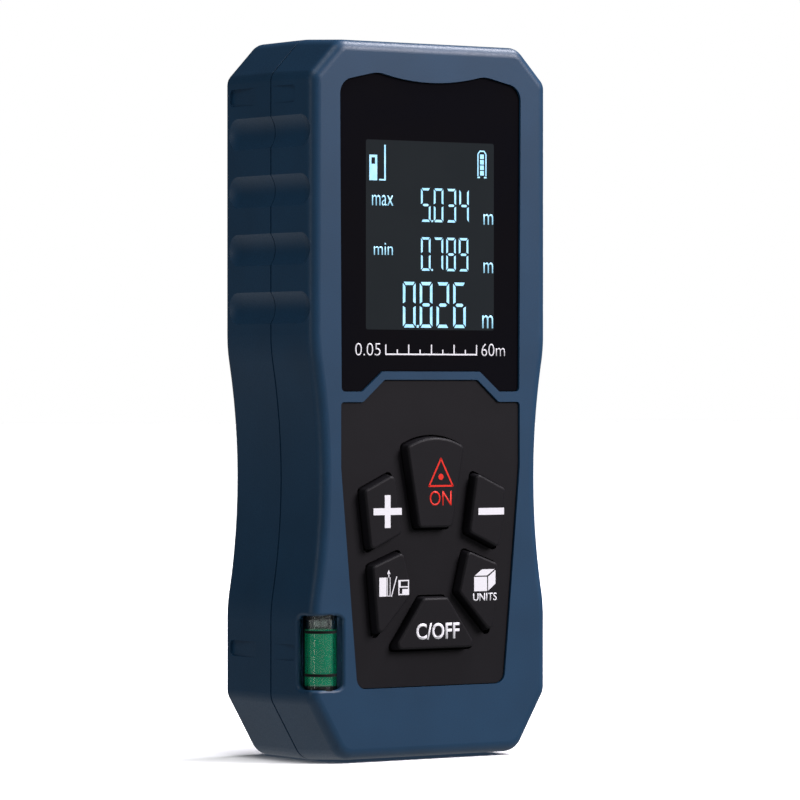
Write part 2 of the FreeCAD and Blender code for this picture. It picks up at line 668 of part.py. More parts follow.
def port_edges(corners):
    """Pick the edges down the corners of the spirit level's port, or those round its rim."""
    turn = math.radians(SIZES["port_turn"])
    outward = Vector(-math.sin(turn), -math.cos(turn), 0)
    along = Vector(math.cos(turn), -math.sin(turn), 0)
    axis = Vector(-SIZES["vial_x"], -SIZES["vial_y"], 0)
    sides = (-SIZES["port_left"], SIZES["port_right"])
    ends = (SIZES["port_low"], SIZES["port_high"])

    def near(number, levels, room=TOUCH):
        return any(abs(number - level) < room for level in levels)

    def on_wall(point):
        across = (point - axis).dot(along)
        within = sides[0] - TOUCH < across < sides[1] + TOUCH
        within = within and ends[0] - TOUCH < point.z < ends[1] + TOUCH
        bend = SIZES["port_round"]
        corner = near(across, sides, bend) and near(point.z, ends, bend)
        return within and (near(across, sides) or near(point.z, ends) or corner)

    def choose(edge):
        if len(edge.Vertexes) != 2:
            return False
        points = [vertex.Point for vertex in edge.Vertexes]
        low, high = sorted((point - axis).dot(outward) for point in points)
        if not all(on_wall(point) for point in points):
            return False
        if corners:
            drop = points[1] - points[0]
            return low < 1 and abs(drop.normalize().dot(outward)) > 0.99
        return low > 1

    return choose


def rear_cover():
    body = new_body("rear_cover")
    shape_shell(body, "0", "rear_depth")
    round_edges(body, "rear_round", "rear_round", level_edges("rear_depth"))
    round_edges(body, "seam_bevel", "seam_bevel", level_edges("0", beside_foot), "Chamfer")
    cut_dimples(body, "rear")
    cut_grooves(body, drafted=False)
    opening(body, "cavity", grown(SHELL, "-wall_side"), "-past", "rear_depth - wall_rear", WAIST)
    inner_face = "rear_depth - wall_rear + joint_overlap"
    bay_block = rectangle("-block_x", "block_x", "block_low", "block_high")
    slab(body, "bay_block", bay_block, "bay_under", inner_face)
    posts(body, "bosses", SCREW_SPOTS, "boss_rear_radius", "0", inner_face)
    drill(body, "screw_holes", SCREW_SPOTS, "screw_hole", "-past", "rear_depth + past")
    drill(body, "screw_wells", SCREW_SPOTS, "screw_well", "screw_seat", "rear_depth + past")
    posts(body, "optics_posts", EAR_SPOTS, "ear_post", "ear_rear", inner_face)
    drill(body, "optics_pilots", EAR_SPOTS, "ear_screw", "ear_rear - past", "ear_screw_tip + pilot_spare")
    bay = rectangle("-bay_x", "bay_x", "bay_low", "bay_high")
    opening(body, "battery_bay", bay, "bay_floor", "rear_depth + past")
    seat = rectangle("-door_x - door_gap", "door_x + door_gap", "seat_low", "door_high + door_gap")
    opening(body, "door_seat", seat, "door_seat", "rear_depth + past")
    notch = ("0", "door_high + door_gap")
    drill(body, "thumb_notch", [notch], "notch_radius", "rear_depth - notch_deep", "rear_depth + past")
    latch = rectangle(
        "-latch_x - latch_room", "latch_x + latch_room", "bay_high - past", "latch_high + latch_room"
    )
    opening(body, "latch_slot", latch, "latch_tip - latch_room", "door_seat + past")
    for side, low, high in (("right", *TAB_SLOT), ("left", minus(TAB_SLOT[1]), minus(TAB_SLOT[0]))):
        slot = rectangle(low, high, "bay_high - plate_thick - tab_overlap", "bay_high")
        opening(body, f"{side}_tab_slot", slot, "bay_under - past", "bay_floor + past")
    cut_hinge(body)
    opening(body, "bezel_slot", BEZEL_SLOT, "-past", "optic_y + bezel_half_y + bezel_gap")
    label = rectangle("-label_x", "label_x", "label_low", "label_high")
    opening(body, "label_recess", label, "rear_depth - label_deep", "rear_depth + past")
    round_edges(body, "label_corners", "label_round", corner_edges(label, "rear_depth - label_deep"))
    cut_gasket_groove(body)
    cut_parting_gap(body)
    keep("rear_cover", body)


def cut_hinge(body):
    """Cut the trough that the door's bead turns in, and the blind pin holes."""
    centre = ("hinge_y", "hinge_z")
    room = circle_sketch(body, "bead_room_circle", "YZ_Plane", "-door_x - door_gap", [centre], "bead_room")
    add_feature(body, "Pocket", "bead_room", room, "2 * (door_x + door_gap)", reverse=True)
    holes = circle_sketch(body, "hinge_hole_circle", "YZ_Plane", "-hole_end", [centre], "hinge_hole")
    add_feature(body, "Pocket", "hinge_holes", holes, "2 * hole_end", reverse=True)


def cut_gasket_groove(body):
    """Cut the ring groove for the gasket as two nested outlines in one sketch."""
    sketch = outline_sketch(body, "gasket_outline", "XZ_Plane", "0", grown(SHELL, "-gasket_outer"), WAIST)
    add_outline(sketch, grown(SHELL, "-gasket_inner"), WAIST)
    add_feature(body, "Pocket", "gasket_groove", sketch, "gasket_deep")


def cut_parting_gap(body):
    """Relieve the rim outside the gasket, so that a fine line shows between the covers."""
    border = rectangle("-half_width - 5", "half_width + 5", "-5", "shell_height + 5")
    sketch = outline_sketch(body, "parting_outline", "XZ_Plane", "0", border)
    add_outline(sketch, grown(SHELL, "-gasket_outer"), WAIST)
    add_feature(body, "Pocket", "parting_gap", sketch, "parting_gap")


def housing_gasket():
    body = new_body("housing_gasket")
    sketch = outline_sketch(body, "ring", "XZ_Plane", "gasket_deep", grown(SHELL, "-gasket_outer"), WAIST)
    add_outline(sketch, grown(SHELL, "-gasket_inner"), WAIST)
    add_feature(body, "Pad", "cord", sketch, "gasket_deep")
    opening(body, "bezel_gap", BEZEL_SLOT, "-past", "gasket_deep + past")
    keep("housing_gasket", body)


# ---------------------------------------------------------------- display

def display_window():
    body = new_body("display_window")
    outline = grown(WINDOW, "-window_gap")
    rear = "-front_depth + window_recess + window_thickness"
    slab(body, "pane", outline, "-front_depth + window_recess", rear, WINDOW_DIP)
    round_window_corners(body, outline, rear)
    keep("display_window", body)


def window_tape():
    body = new_body("window_tape")
    outline = grown(WINDOW, "-3 * window_gap")
    front = "-front_depth + window_recess + window_thickness"
    rear = front + " + tape_thickness"
    slab(body, "film", outline, front, rear, WINDOW_DIP)
    round_window_corners(body, outline, rear)
    opening(body, "clear_area", APERTURE, front, rear)
    keep("window_tape", body)


def display_module():
    across = ("-glass_x", "glass_x")
    keep("lcd_glass", block(
        "lcd_pane", across, ("-glass_front", "-glass_rear"), ("glass_low", "glass_high")
    ))
    keep("lcd_backlight", block(
        "light_guide", across, ("-glass_rear", "-backlight_rear"), ("backlight_low", "glass_high")
    ))
    keep("zebra_strip", block(
        "elastomer", ("-glass_x + zebra_inset", "glass_x - zebra_inset"), ("-glass_rear", "-board_front"),
        ("glass_low + zebra_gap", "backlight_low - zebra_gap"),
    ))
    outer = block(
        "module_outer", ("-module_frame_x", "module_frame_x"),
        ("-front_depth + wall_front + module_gap", "-board_front - module_gap"),
        ("module_frame_low", "module_frame_high"),
    )
    inner = block(
        "module_inner", ("-glass_x - module_gap", "glass_x + module_gap"), ("-front_depth", "0"),
        ("glass_low - module_gap", "glass_high + module_gap"),
    )
    keep("lcd_frame", cut("module_ring", outer, inner))


# ---------------------------------------------------------------- keypad

def mirrored(points):
    return [(minus(x), z) for x, z in reversed(points)]


STEP_KEY = [
    ("step_heel_x", "step_heel_z"),
    ("step_outer_x", "step_outer_z"),
    ("step_inner_x", "step_inner_z"),
    ("step_tip_x", "step_tip_z"),
]
MODE_KEY = [
    ("mode_heel_x", "mode_heel_z"),
    ("mode_outer_x", "mode_outer_z"),
    ("mode_inner_x", "mode_inner_z"),
    ("mode_tip_x", "mode_tip_z"),
]
ON_KEY = both_sides([("on_foot_x", "on_foot_z"), ("on_top_x", "on_top_z")])
CLEAR_KEY = both_sides([("clear_foot_x", "clear_foot_z"), ("clear_top_x", "clear_top_z")])
KEYS = {
    "key_on": (ON_KEY, {1: "on_crown"}),
    "key_plus": (mirrored(STEP_KEY), None),
    "key_minus": (STEP_KEY, None),
    "key_reference": (mirrored(MODE_KEY), None),
    "key_units": (MODE_KEY, None),
    "key_clear": (CLEAR_KEY, None),
}


def key_centre(outline):
    return middle([x for x, _z in outline]), middle([z for _x, z in outline])


def keypad_panel():
    body = new_body("keypad_panel")
    outline = grown(PANEL, "-pad_gap")
    front = "-front_depth + pad_recess"
    rear = front + " + pad_thickness"
    slab(body, "panel", outline, front, rear)
    round_panel_corners(body, outline, rear)
    for name, (points, arcs) in KEYS.items():
        hole = grown(points, "key_flare + key_gap")
        opening(body, name + "_hole", hole, front, rear, arcs)
        round_edges(body, name + "_hole_round", "key_hole_round", corner_edges(hole, front))
    keep("keypad_panel", body)


def key(name, points, arcs):
    """A cap with sloping walls, a flange that holds it behind the panel, and a stem."""
    body = new_body(name)
    root = grown(points, "key_flare")
    slope = "-atan(key_flare / (key_face - key_root))"
    slab(body, "cap", root, "-key_face", "-key_root", arcs, slope)
    round_edges(body, "corners", "key_round", corner_edges(root, "-key_root"))
    round_edges(body, "rim", "key_edge_round", level_edges("-key_face"))
    slab(body, "flange", grown(points, "key_flange"), "-key_root", "-key_flange_rear", arcs)
    posts(body, "stem", [key_centre(points)], "stem_radius", "-key_flange_rear", "-stem_tip")
    keep(name, body)


def keypad_mat():
    sheet_solid = block(
        "mat_sheet", ("-mat_x", "mat_x"), ("-mat_front", "-board_front"), ("mat_low", "mat_high")
    )
    holes = [
        rod(f"mat_hole_{name}", "y", key_centre(points), ("-mat_front - 1", "0"), "mat_hole")
        for name, (points, _arcs) in KEYS.items()
    ]
    keep("keypad_mat", cut("mat", sheet_solid, *holes))


def switch_domes():
    span = ("-board_front - dome_height", "-board_front")
    domes = [
        rod(f"dome_{name}", "y", key_centre(points), span, "dome_crown", "dome_radius")
        for name, (points, _arcs) in KEYS.items()
    ]
    keep("switch_domes", group("domes", *domes))


# ---------------------------------------------------------------- main board

def screw(name, spot, seat, tip, head, shank, head_high):
    """A pan-head screw along Y with a cross recess; the tip may point either way."""
    forward = value(tip) < value(seat)
    top = f"{seat} + ({head_high})" if forward else f"{seat} - ({head_high})"
    head_span = (seat, top) if forward else (top, seat)
    shank_span = (tip, seat) if forward else (seat, tip)
    half_head = f"({head_high}) / 2"
    slot_span = (f"{top} - {half_head}", f"{top} + past")
    if not forward:
        slot_span = (f"{top} - past", f"{top} + {half_head}")
    x, z = spot
    solid = join(
        name + "_blank",
        rod(name + "_head", "y", spot, head_span, head),
        rod(name + "_shank", "y", spot, shank_span, shank),
    )
    long_half, short_half = f"({head}) * cross_long", f"({head}) * cross_wide"
    slots = [
        block(f"{name}_slot_{way}", (f"{x} - {a}", f"{x} + {a}"), slot_span, (f"{z} - {b}", f"{z} + {b}"))
        for way, a, b in (("across", long_half, short_half), ("upright", short_half, long_half))
    ]
    return cut(name, solid, *slots)


def main_board():
    sheet_solid = block(
        "board_sheet", ("-board_x", "board_x"), ("-board_front", "-board_rear"), ("board_low", "board_high")
    )
    holes = [
        rod(f"board_hole_{index}", "y", spot, ("-board_front - 1", "0"), "board_hole")
        for index, spot in enumerate(BOARD_SPOTS)
    ]
    keep("main_board", cut("board", sheet_solid, *holes))
    screws = [
        screw(f"board_screw_{index}", spot, "-board_rear", "-board_screw_tip", "board_screw_head",
              "board_pilot", "board_screw_head_high")
        for index, spot in enumerate(BOARD_SPOTS)
    ]
    keep("board_screws", group("board_screw_set", *screws))


def on_board(name, x, z, wide, high, thick):
    """Stand a rectangular part on the rear of the main board, centred at a place."""
    return block(
        name, (f"{x} - {wide} / 2", f"{x} + {wide} / 2"), ("-board_rear", f"-board_rear + {thick}"),
        (f"{z} - {high} / 2", f"{z} + {high} / 2"),
    )


def board_parts():
    chip = on_board("chip_body", "chip_x", "chip_z", "chip_size", "chip_size", "chip_thick")
    legs = []
    reach = "(chip_size + 2 * leg_reach)"
    for index in range(CHIP_LEGS):
        step = f"(leg_pitch * ({index} - {(CHIP_LEGS - 1) / 2}))"
        legs.append(on_board(
            f"legs_across_{index}", "chip_x", f"chip_z + {step}", reach, "leg_wide", "leg_thick"
        ))
        legs.append(on_board(
            f"legs_up_{index}", f"chip_x + {step}", "chip_z", "leg_wide", reach, "leg_thick"
        ))
    keep("microcontroller", join("chip", chip, *legs))
    keep("crystal", on_board(
        "crystal_can", "crystal_x", "crystal_z", "crystal_wide", "crystal_high", "crystal_thick"
    ))
    centre = ("buzzer_x", "buzzer_z")
    port_span = ("buzzer_rear - buzzer_port_deep", "buzzer_rear + past")
    keep("buzzer", cut(
        "buzzer_case",
        rod("buzzer_drum", "y", centre, ("-board_rear", "buzzer_rear"), "buzzer_radius"),
        rod("buzzer_port", "y", centre, port_span, "buzzer_port"),
    ))
    small = [
        on_board(
            f"passive_{row}_{column}", f"passive_x + passive_step_x * {column}",
            f"passive_z + passive_step_z * {row}", "passive_wide", "passive_high",
            f"(passive_thick * (1 + 0.5 * {(row + column) % 3}))",
        )
        for row in range(PASSIVE_ROWS)
        for column in range(PASSIVE_COLUMNS)
    ]
    keep("board_components", group("passives", *small))


# ---------------------------------------------------------------- optics

def optics_frame():
    main = block(
        "optic_block", ("-optic_frame_x", "optic_frame_x"), ("-optic_front", "optic_rear"),
        ("optic_low", "optic_high"),
    )
    ears = block("optic_ears", ("-ear_x", "ear_x"), ("-ear_front", "ear_rear"), ("ear_low", "ear_high"))
    laser, receiver = ("-laser_x", "optic_y"), ("receiver_x", "optic_y")
    under, beyond = "optic_low - past", "optic_high + past"
    seat = "laser_tube_low - running_gap"
    tools = [
        rod("laser_seat", "z", laser, (seat, beyond), "laser_tube_radius + running_gap"),
        rod("laser_wire_way", "z", laser, (under, "laser_tube_low"), "laser_wire_radius"),
        rod("receiver_way", "z", receiver, (under, beyond), "receiver_bore"),
        rod("lens_seat_way", "z", receiver, ("lens_seat", beyond), "receiver_radius + running_gap"),
    ]
    for index, spot in enumerate(EAR_SPOTS):
        hole_span = ("-optic_front - past", "optic_rear")
        tools.append(rod(f"ear_hole_{index}", "y", spot, hole_span, "ear_screw_hole"))
    keep("optics_frame", cut("optic_frame", join("optic_mass", main, ears), *tools))
    screws = [
        screw(f"optic_screw_{index}", spot, "-ear_front", "ear_screw_tip", "ear_screw_head",
              "ear_screw", "ear_screw_head_high")
        for index, spot in enumerate(EAR_SPOTS)
    ]
    keep("optics_screws", group("optic_screw_set", *screws))


def laser_parts():
    centre = ("-laser_x", "optic_y")
    keep("laser_tube", cut(
        "laser_barrel",
        rod("laser_outer", "z", centre, ("laser_tube_low", "laser_tube_high"), "laser_tube_radius"),
        rod("laser_inner", "z", centre, ("laser_tube_low - 1", "laser_tube_high + 1"), "laser_tube_bore"),
    ))
    pin_span = ("diode_low - pin_long", "diode_low + pin_root")
    pins = [
        rod(f"diode_pin_{index}", "z", (f"-laser_x{shift}", "optic_y"), pin_span, "pin_radius")
        for index, shift in enumerate((" - pin_step", "", " + pin_step"))
    ]
    can = rod("diode_can", "z", centre, ("diode_low", "diode_high"), "diode_radius")
    keep("laser_diode", join("diode", can, *pins))
    keep("collimator_lens", common(
        "collimator",
        rod("collimator_blank", "z", centre, ("collimator_low", "collimator_high"), "laser_tube_bore"),
        ball("collimator_curve_ball", (*centre, "collimator_high - collimator_curve"), "collimator_curve"),
    ))


def receiver_parts():
    centre = ("receiver_x", "optic_y")
    crown = "(receiver_radius^2 + lens_crown^2) / (2 * lens_crown)"
    top = "lens_seat + lens_edge + lens_crown"
    keep("receiver_lens", common(
        "receiver_glass",
        rod("receiver_blank", "z", centre, ("lens_seat", top), "receiver_radius"),
        ball("receiver_curve", (*centre, f"{top} - {crown}"), crown),
    ))
    rest = "lens_seat + lens_edge + retainer_rest"
    keep("lens_retainer", cut(
        "retainer_ring",
        rod("retainer_outer", "z", centre, (rest, rest + " + retainer_high"), "receiver_radius"),
        rod("retainer_inner", "z", centre, ("lens_seat", "optic_high + 1"), "retainer_bore"),
    ))
    keep("detector_board", block(
        "detector_sheet", ("receiver_x - detector_half_wide", "receiver_x + detector_half_wide"),
        ("optic_y - detector_front", "optic_y + detector_rear"),
        ("optic_low - detector_thick", "optic_low"),
    ))
    keep("detector_can", rod(
        "detector_shell", "z", centre, ("optic_low", "optic_low + can_high"), "can_radius"
    ))


def optics_bezel():
    """A black plate in a slot of the top face, with a lip inside the covers."""
    body = new_body("optics_bezel")
    lip = rectangle(
        "-bezel_x - bezel_lip", "bezel_x + bezel_lip",
        "optic_y - bezel_half_y - bezel_lip", "optic_y + bezel_half_y + bezel_lip",
    )
    plate = rectangle("-bezel_x", "bezel_x", "optic_y - bezel_half_y", "optic_y + bezel_half_y")
    sketch = outline_sketch(body, "lip_outline", "XY_Plane", "bezel_low", lip)
    add_feature(body, "Pad", "lip", sketch, "bezel_lip_high")
    sketch = outline_sketch(body, "plate_outline", "XY_Plane", "bezel_low + bezel_lip_high", plate)
    add_feature(body, "Pad", "plate", sketch, "bezel_top - bezel_low - bezel_lip_high")
    ports = {
        "receiver_port": ("receiver_x", "optic_y"),
        "laser_port": ("-laser_x", "optic_y"),
    }
    for radius, centre in ports.items():
        sketch = circle_sketch(body, radius + "_circle", "XY_Plane", "bezel_top", [centre], radius)
        add_feature(body, "Pocket", radius, sketch, "bezel_top - bezel_low")
        doc.recompute()
    laser = [("-laser_x", "optic_y")]
    sketch = circle_sketch(body, "pane_circle", "XY_Plane", "bezel_low", laser, "laser_pane")
    add_feature(body, "Pocket", "pane_seat", sketch, "laser_pane_high", reverse=True)
    keep("optics_bezel", body)
    keep("laser_window", rod(
        "laser_glass", "z", laser[0], ("bezel_low", "bezel_low + laser_pane_high"), "laser_pane"
    ))


# ---------------------------------------------------------------- battery bay

def battery(name, side, base, way):
    """A cell as a turned solid, with its positive nub up (way 1) or down (way -1)."""
    body = new_body(name)
    profile = [
        ("0", "0"),
        ("cell_radius - cell_round", "0"),
        ("cell_radius", "cell_round"),
        ("cell_radius", "cell_length - nub_high - cell_round"),
        ("cell_radius - cell_round", "cell_length - nub_high"),
        ("nub_radius", "cell_length - nub_high"),
        ("nub_radius", "cell_length"),
        ("0", "cell_length"),
    ]
    points = [(x, f"{base} + ({way}) * ({z})") for x, z in profile]
    sketch = outline_sketch(body, "profile", "XZ_Plane", "cell_y", points)
    bind(sketch, "AttachmentOffset.Base.x", side + "cell_x")
    revolution = body.newObject("PartDesign::Revolution", "turned")
    revolution.Profile = sketch
    revolution.ReferenceAxis = (sketch, ["V_Axis"])
    revolution.Angle = 360
    doc.recompute()
    keep(name, body)


def contact_plates():
    depth = ("plate_y_low", "plate_y_high")
    plates = [block("lower_plate", ("-plate_x", "plate_x"), depth, ("bay_low", "bay_low + plate_thick"))]
    top = ("bay_high - plate_thick", "bay_high")
    for side, sign in (("right", 1), ("left", -1)):
        across = [("plate_split", "plate_x"), ("tab_x_low", "tab_x_high")]
        if sign < 0:
            across = [(minus(high), minus(low)) for low, high in across]
        plates.append(join(
            f"{side}_upper_plate",
            block(f"{side}_upper_leaf", across[0], depth, top),
            block(f"{side}_upper_tab", across[1], ("-board_rear", "plate_y_low + tab_overlap"), top),
        ))
    keep("contact_plates", group("plates", *plates))


def contact_springs():
    """Two conical springs as closed turns of wire joined by short links."""
    room = "(bay_high - bay_low - 2 * plate_thick - cell_length - 2 * contact_gap - 2 * spring_wire)"
    springs = []
    for side, sign in (("left", 1), ("right", -1)):
        inset = "plate_thick + spring_wire"
        start = f"(bay_low + {inset})" if sign > 0 else f"(bay_high - ({inset}))"
        x = f"({-sign}) * cell_x"
        pieces = []
        for turn in range(SPRING_TURNS):
            level = f"{start} + ({sign}) * {room} * {turn} / {SPRING_TURNS - 1}"
            ring = doc.addObject("Part::Torus", f"{side}_turn_{turn}")
            bind(ring, "Radius1", f"spring_base - spring_step * {turn}")
            bind(ring, "Radius2", "spring_wire")
            place(ring, x, "cell_y", level)
            pieces.append(ring)
        for turn in range(SPRING_TURNS - 1):
            low = f"{start} + ({sign}) * {room} * {turn} / {SPRING_TURNS - 1}"
            high = f"{start} + ({sign}) * {room} * {turn + 1} / {SPRING_TURNS - 1}"
            span = (low, high) if sign > 0 else (high, low)
            reach = f"(spring_base - spring_step * ({turn} + 0.5)) * ({(-1) ** turn})"
            spot = (f"{x} + {reach}", "cell_y")
            pieces.append(rod(f"{side}_link_{turn}", "z", spot, span, "spring_link"))
        springs.append(join(side + "_spring", *pieces))
    keep("contact_springs", group("springs", *springs))


def battery_door():
    """A plate with a round bead and two pins along its foot, and a latch tongue on top."""
    body = new_body("battery_door")
    plate = rectangle("-door_x", "door_x", "hinge_z", "door_high")
    slab(body, "plate", plate, "door_inner", "door_outer")
    centre = ("hinge_y", "hinge_z")
    bead = circle_sketch(body, "bead_circle", "YZ_Plane", "-door_x", [centre], "bead_radius")
    add_feature(body, "Pad", "bead", bead, "2 * door_x")
    pins = circle_sketch(body, "pin_circle", "YZ_Plane", "-pin_end", [centre], "hinge_pin")
    add_feature(body, "Pad", "pins", pins, "2 * pin_end")
    tongue = rectangle("-latch_x", "latch_x", "latch_low", "latch_high")
    slab(body, "latch", tongue, "latch_tip", "door_inner + joint_overlap")
    ridge = rectangle("-grip_x", "grip_x", "grip_low", "grip_low + grip_high")
    groove = opening(body, "grip", ridge, "door_outer - grip_deep", "door_outer + past")
    pattern = body.newObject("PartDesign::LinearPattern", "grips")
    pattern.Originals = [groove]
    pattern.Direction = (origin_feature(body, "Z_Axis"), [""])
    bind(pattern, "Length", "grip_pitch * (grip_count - 1)")
    bind(pattern, "Occurrences", "grip_count")
    body.Tip = pattern
    doc.recompute()
    keep("battery_door", body)
    keep("door_foam", block(
        "foam_strip", ("-foam_x", "foam_x"), ("foam_front", "door_inner"), ("foam_low", "foam_high")
    ))


def rear_label():
    body = new_body("rear_label")
    outline = rectangle(
        "-label_x + label_gap", "label_x - label_gap", "label_low + label_gap", "label_high - label_gap"
    )
    front = "rear_depth - label_deep"
    slab(body, "film", outline, front, "rear_depth - label_sunk")
    round_edges(body, "corners", "label_round", corner_edges(outline, "rear_depth - label_sunk"))
    keep("rear_label", body)


def housing_screws():
    screws = [
        screw(f"housing_screw_{index}", spot, "screw_seat", "-screw_tip", "screw_head",
              "screw_pilot", "screw_head_high")
        for index, spot in enumerate(SCREW_SPOTS)
    ]
    keep("housing_screws", group("housing_screw_set", *screws))


# ---------------------------------------------------------------- spirit level

def spirit_level():
    centre = ("-vial_x", "-vial_y")
    ends = ("vial_low", "vial_high")
    keep("vial_tube", cut(
        "vial_wall",
        rod("vial_outer", "z", centre, ends, "vial_radius"),
        rod("vial_inner", "z", centre, ("vial_low - 1", "vial_high + 1"), "vial_bore"),
    ))
    spans = [("vial_low", "vial_low + vial_plug"), ("vial_high - vial_plug", "vial_high")]
    plugs = [rod(f"plug_{index}", "z", centre, span, "vial_bore") for index, span in enumerate(spans)]
    keep("vial_plugs", group("plugs", *plugs))
    keep("vial_liquid", rod("liquid", "z", centre, ("vial_low + vial_plug", "liquid_level"), "vial_bore"))
    rings = []
    for level in ("ring_upper", "ring_lower"):
        span = (f"{level} - ring_high / 2", f"{level} + ring_high / 2")
        rings.append(cut(
            level + "_band",
            rod(level + "_outer", "z", centre, span, "vial_radius + ring_proud"),
            rod(level + "_inner", "z", centre, ("vial_low", "vial_high"), "vial_radius"),
        ))
    keep("vial_rings", group("rings", *rings))
    cradle = block(
        "cradle_block", ("-cradle_out", "-cradle_in"), ("-cradle_front", "-cradle_rear"),
        ("cradle_low", "cradle_high"),
    )
    trough_span = ("cradle_low - past", "cradle_high + past")
    trough = rod("cradle_trough", "z", centre, trough_span, "vial_radius + cradle_room")
    keep("vial_cradle", cut("cradle", cradle, trough))


# ---------------------------------------------------------------- assembly

front_cover()
rear_cover()
housing_gasket()
display_window()
window_tape()
display_module()
keypad_panel()
for key_name, (key_points, key_arcs) in KEYS.items():
    key(key_name, key_points, key_arcs)
keypad_mat()
switch_domes()
main_board()
board_parts()
optics_frame()
laser_parts()
receiver_parts()
optics_bezel()
battery("battery_left", "-", "bay_high - plate_thick - contact_gap - cell_length", 1)
battery("battery_right", "", "bay_low + plate_thick + contact_gap + cell_length", -1)
contact_plates()
contact_springs()
battery_door()
rear_label()
housing_screws()
spirit_level()
doc.recompute()

for thing in doc.Objects:
    if "Invalid" in thing.State or "Error" in thing.State:
        raise ValueError(f"{thing.Name} has failed: {thing.State}")
for name, thing in nodes.items():
    if thing.Shape.isNull() or not thing.Shape.isValid():
        raise ValueError(f"{name} has no valid shape")

os.makedirs("parts", exist_ok=True)
for name, thing in nodes.items():
    thing.Shape.exportStep(os.path.join("parts", name + ".step"))
print(f"{len(nodes)} sub-parts")
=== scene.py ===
import json
import math

import bmesh
import bpy
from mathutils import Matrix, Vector

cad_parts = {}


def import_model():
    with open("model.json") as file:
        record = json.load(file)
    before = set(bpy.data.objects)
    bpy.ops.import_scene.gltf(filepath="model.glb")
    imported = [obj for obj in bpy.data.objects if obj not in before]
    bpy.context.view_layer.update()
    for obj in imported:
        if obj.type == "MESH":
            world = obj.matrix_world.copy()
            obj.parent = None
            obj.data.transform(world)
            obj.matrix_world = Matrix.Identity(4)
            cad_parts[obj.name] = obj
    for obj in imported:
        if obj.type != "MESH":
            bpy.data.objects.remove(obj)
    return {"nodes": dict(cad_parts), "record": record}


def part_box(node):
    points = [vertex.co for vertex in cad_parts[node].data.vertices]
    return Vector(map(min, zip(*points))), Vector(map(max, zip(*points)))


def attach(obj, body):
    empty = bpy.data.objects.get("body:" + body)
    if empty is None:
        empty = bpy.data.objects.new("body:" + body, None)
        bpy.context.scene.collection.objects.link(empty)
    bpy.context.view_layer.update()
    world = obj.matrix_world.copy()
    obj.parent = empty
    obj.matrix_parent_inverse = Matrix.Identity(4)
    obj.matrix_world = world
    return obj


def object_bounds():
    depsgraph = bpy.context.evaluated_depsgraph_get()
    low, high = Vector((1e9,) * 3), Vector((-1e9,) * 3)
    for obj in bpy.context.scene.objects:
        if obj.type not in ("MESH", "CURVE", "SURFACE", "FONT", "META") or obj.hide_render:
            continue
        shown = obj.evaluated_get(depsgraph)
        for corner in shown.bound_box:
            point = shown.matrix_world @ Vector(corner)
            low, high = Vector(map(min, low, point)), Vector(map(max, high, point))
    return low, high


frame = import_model()
cad_low, cad_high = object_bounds()

MM = 0.001
HOUSING = "housing"
WHITE = (1, 1, 1)


# ---------------------------------------------------------------- materials

NOISE_LOW, NOISE_HIGH = 0.3, 0.7    # most of a noise texture's values lie between these


def srgb(red, green, blue):
    """Turn a display colour of 0 to 255 into the linear colour that shaders take."""
    def linear(level):
        level /= 255
        return level / 12.92 if level <= 0.04045 else ((level + 0.055) / 1.055) ** 2.4
    return linear(red), linear(green), linear(blue), 1.0


def shade(colour, factor):
    """Make a colour lighter or darker by a factor."""
    return tuple(min(1.0, part * factor) for part in colour[:3]) + (1.0,)


